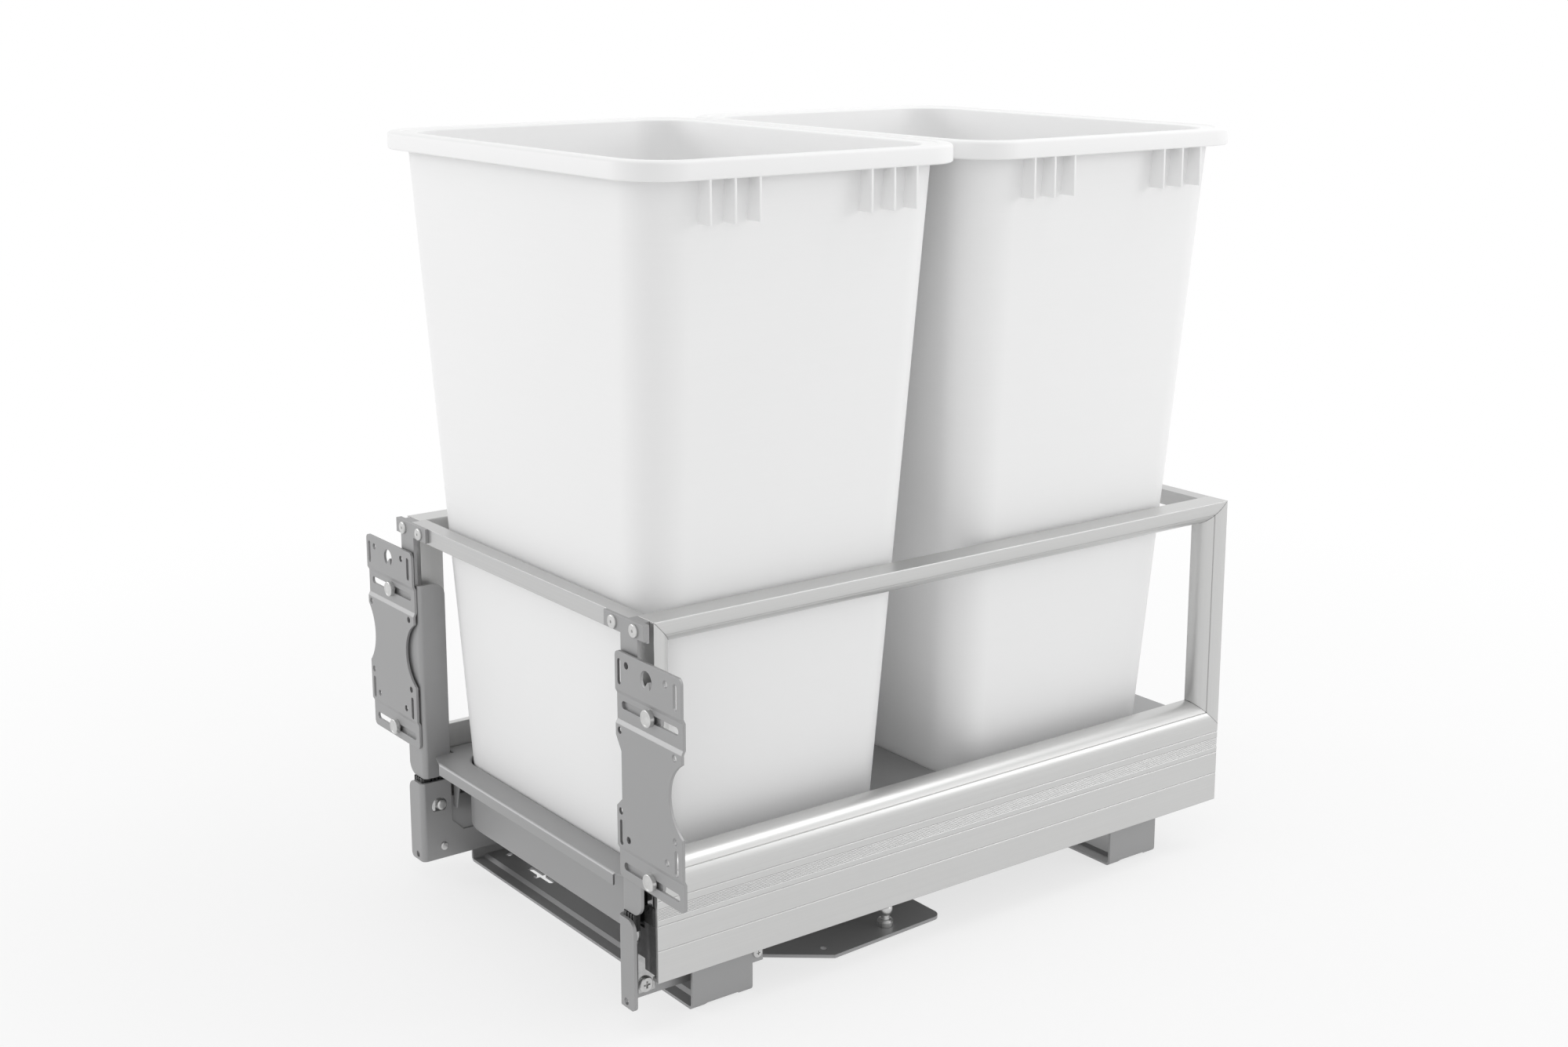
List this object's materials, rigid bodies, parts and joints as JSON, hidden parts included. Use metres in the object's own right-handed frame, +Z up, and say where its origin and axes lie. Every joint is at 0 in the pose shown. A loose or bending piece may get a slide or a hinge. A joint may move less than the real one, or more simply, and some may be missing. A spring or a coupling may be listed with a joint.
{
  "type": "pull out bin frame",
  "caption": "Pull out waste bin frame: mitred aluminium sides on telescopic ball slides and floor brackets, pressed tray with lift-out bins, slotted plates for a cabinet door.",
  "frame": {"origin": "middle of the part's footprint, on the cabinet floor that the floor brackets stand on", "axes": "+X to the right seen from the door, +Y from the door to the back of the cabinet, +Z up"},
  "size_m": [0.449, 0.5646, 0.591],
  "materials": {
    "moulding_aluminium": "satin anodised",
    "grey_coated_steel": "fine grey coating",
    "zinc_steel": "zinc plated sheet",
    "bright_fastener": "bright plated",
    "dark_steel": "dark glossy steel",
    "white_plastic": "satin moulded plastic"
  },
  "bodies": {
    "base": {"floor_bracket_front": "grey_coated_steel", "floor_bracket_rear": "grey_coated_steel", "slide_fixed_left": "zinc_steel", "slide_fixed_right": "zinc_steel", "slide_bolts": "zinc_steel", "damper_plate": "grey_coated_steel", "damper_rivets": "bright_fastener", "ball_stud": "bright_fastener", "foot_screws": "bright_fastener"},
    "outer_cages": {"outer_ball_cage_left": "zinc_steel", "outer_ball_cage_right": "zinc_steel"},
    "slide_middles": {"slide_middle_left": "zinc_steel", "slide_middle_right": "zinc_steel"},
    "inner_cages": {"inner_ball_cage_left": "zinc_steel", "inner_ball_cage_right": "zinc_steel"},
    "drawer": {"top_rail_left": "moulding_aluminium", "top_rail_right": "moulding_aluminium", "front_post_left": "moulding_aluminium", "front_post_right": "moulding_aluminium", "rear_post_left": "moulding_aluminium", "rear_post_right": "moulding_aluminium", "bottom_rail_left": "moulding_aluminium", "bottom_rail_right": "moulding_aluminium", "corner_keys": "moulding_aluminium", "front_bar": "moulding_aluminium", "rear_bar": "moulding_aluminium", "bar_end_left": "grey_coated_steel", "bar_end_right": "grey_coated_steel", "tray": "grey_coated_steel", "upper_bracket_left": "grey_coated_steel", "upper_bracket_right": "grey_coated_steel", "lower_bracket_left": "grey_coated_steel", "lower_bracket_right": "grey_coated_steel", "height_adjuster_left": "dark_steel", "height_adjuster_right": "dark_steel", "front_clip_left": "dark_steel", "front_clip_right": "dark_steel", "cam_screws": "bright_fastener", "clamp_screws": "bright_fastener", "ear_screws": "bright_fastener", "plate_knobs_left": "bright_fastener", "plate_knobs_right": "bright_fastener", "slide_inner_left": "zinc_steel", "slide_inner_right": "zinc_steel", "slide_screws": "zinc_steel"},
    "left_plate": {"door_plate_left": "grey_coated_steel"},
    "right_plate": {"door_plate_right": "grey_coated_steel"},
    "front_bin": {"bin_front": "white_plastic"},
    "rear_bin": {"bin_rear": "white_plastic"}
  },
  "joints": [
    {"name": "drawer_slide", "type": "slide", "parent": "base", "child": "drawer", "axis": [0, -1, 0], "range_m": [0, 0.5]},
    {"name": "middle_slide", "type": "slide", "parent": "base", "child": "slide_middles", "axis": [0, -1, 0], "range_m": [0, 0.25]},
    {"name": "outer_cage_slide", "type": "slide", "parent": "base", "child": "outer_cages", "axis": [0, -1, 0], "range_m": [0, 0.125]},
    {"name": "inner_cage_slide", "type": "slide", "parent": "base", "child": "inner_cages", "axis": [0, -1, 0], "range_m": [0, 0.375]},
    {"name": "front_bin_lift", "type": "slide", "parent": "drawer", "child": "front_bin", "axis": [0, 0, 1], "range_m": [0, 0.3]},
    {"name": "rear_bin_lift", "type": "slide", "parent": "drawer", "child": "rear_bin", "axis": [0, 0, 1], "range_m": [0, 0.3]},
    {"name": "left_plate_shift", "type": "slide", "parent": "drawer", "child": "left_plate", "axis": [1, 0, 0], "range_m": [-0.03, 0.03]},
    {"name": "right_plate_shift", "type": "slide", "parent": "drawer", "child": "right_plate", "axis": [1, 0, 0], "range_m": [-0.03, 0.03]}
  ],
  "couplings": [
    {"joint": "middle_slide", "follows": "drawer_slide", "ratio": 0.5},
    {"joint": "outer_cage_slide", "follows": "drawer_slide", "ratio": 0.25},
    {"joint": "inner_cage_slide", "follows": "drawer_slide", "ratio": 0.75}
  ]
}
